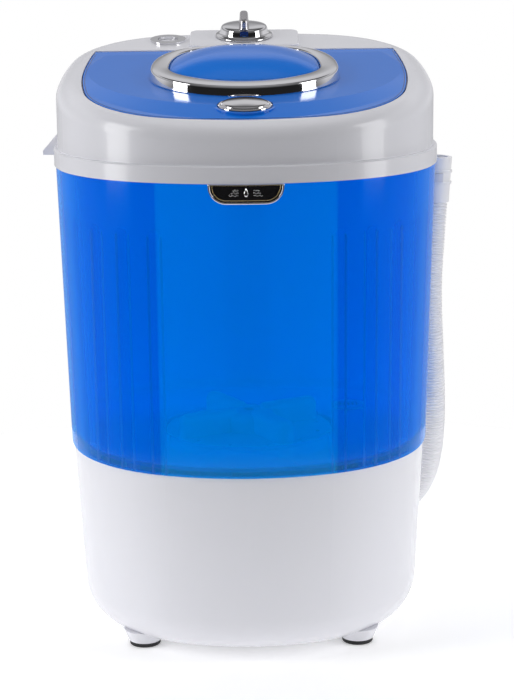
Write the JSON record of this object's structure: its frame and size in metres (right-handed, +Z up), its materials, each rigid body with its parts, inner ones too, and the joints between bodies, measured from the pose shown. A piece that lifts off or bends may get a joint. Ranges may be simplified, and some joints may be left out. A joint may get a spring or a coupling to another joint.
{
  "type": "mini top load washing machine",
  "caption": "Portable top load washer with a see-through wash tub, hinged lid with push button, rotary timer, belt-driven pulsator and side drain hose.",
  "frame": {"origin": "on the floor under the middle of the cabinet", "axes": "+Z up, -Y the front with the badge and the lid button, +X the side with the drain hose"},
  "size_m": [0.3852, 0.3424, 0.5589],
  "materials": {
    "white_plastic": "gloss moulded",
    "blue_clear_plastic": "see-through gloss",
    "lid_blue_plastic": "see-through gloss",
    "chrome_plating": "polished",
    "black_plastic": "gloss",
    "dark_blue_plastic": "gloss",
    "pulsator_plastic": "satin",
    "grey_plastic": "matte",
    "hose_plastic": "satin",
    "black_rubber": "matte",
    "steel": "zinc plated",
    "cast_aluminium": "cast",
    "bronze": "machined",
    "winding_enamel": "enamelled wire"
  },
  "bodies": {
    "cabinet": {"badge_bezel": "chrome_plating", "badge_plate": "black_plastic", "base_housing": "white_plastic", "base_plate": "grey_plastic", "base_plate_screws": "steel", "bearing_bolts": "steel", "bearing_housing": "cast_aluminium", "capacitor": "cast_aluminium", "capacitor_clamp": "grey_plastic", "collar": "white_plastic", "collar_screws": "steel", "control_panel": "white_plastic", "cord_gland": "black_rubber", "drain_hose": "hose_plastic", "drain_outlet": "white_plastic", "drain_pipe": "black_rubber", "drain_strainer": "pulsator_plastic", "drive_belt": "black_rubber", "drive_plate": "steel", "drive_plate_screws": "steel", "foot_back_left": "black_rubber", "foot_back_right": "black_rubber", "foot_front_left": "black_rubber", "foot_front_right": "black_rubber", "hinge_pins": "steel", "hose_clip": "white_plastic", "hose_cuff": "hose_plastic", "hose_hook": "white_plastic", "hose_nut": "white_plastic", "inlet_port": "chrome_plating", "motor_bolts": "steel", "motor_end_bells": "cast_aluminium", "motor_stator": "steel", "motor_windings": "winding_enamel", "rear_tray": "white_plastic", "shaft_bushes": "bronze", "shaft_seal": "black_rubber", "timer_body": "grey_plastic", "tub": "blue_clear_plastic", "tub_gasket": "black_rubber", "tub_screws": "steel", "wire_duct": "white_plastic", "wiring_harness": "black_rubber"},
    "lid": {"lid_panel": "lid_blue_plastic", "lid_ring": "chrome_plating", "lid_dome": "lid_blue_plastic", "button_seat": "grey_plastic", "button_spring": "steel"},
    "button": {"latch_button": "chrome_plating"},
    "knob": {"timer_knob": "chrome_plating", "knob_pointer": "dark_blue_plastic", "timer_shaft": "steel"},
    "agitator": {"pulsator": "pulsator_plastic", "pulsator_screw": "steel", "drive_shaft": "steel", "driven_pulley": "cast_aluminium", "pulley_nut": "steel"},
    "rotor": {"motor_rotor": "steel", "motor_pulley": "cast_aluminium", "motor_fan": "grey_plastic"}
  },
  "joints": [
    {"name": "lid_hinge", "type": "hinge", "parent": "cabinet", "child": "lid", "pos_m": [0, 0.07942, 0.52076], "axis": [-1, 0, 0], "range_deg": [0, 100]},
    {"name": "button_press", "type": "slide", "parent": "lid", "child": "button", "axis": [0, 0.181, -0.9835], "range_m": [0, 0.003], "stiffness_N_per_m": 400, "deforming": ["button_spring"]},
    {"name": "timer_turn", "type": "hinge", "parent": "cabinet", "child": "knob", "pos_m": [0, 0.12195, 0.53164], "axis": [0, 0.181, -0.9835], "range_deg": [0, 300]},
    {"name": "pulsator_spin", "type": "hinge", "parent": "cabinet", "child": "agitator", "pos_m": [0, 0, 0.15], "axis": [0, 0, 1], "continuous": true},
    {"name": "motor_spin", "type": "hinge", "parent": "cabinet", "child": "rotor", "pos_m": [-0.092, 0, 0.14], "axis": [0, 0, 1], "continuous": true}
  ],
  "couplings": [
    {"joint": "motor_spin", "follows": "pulsator_spin", "ratio": 4.2857}
  ]
}
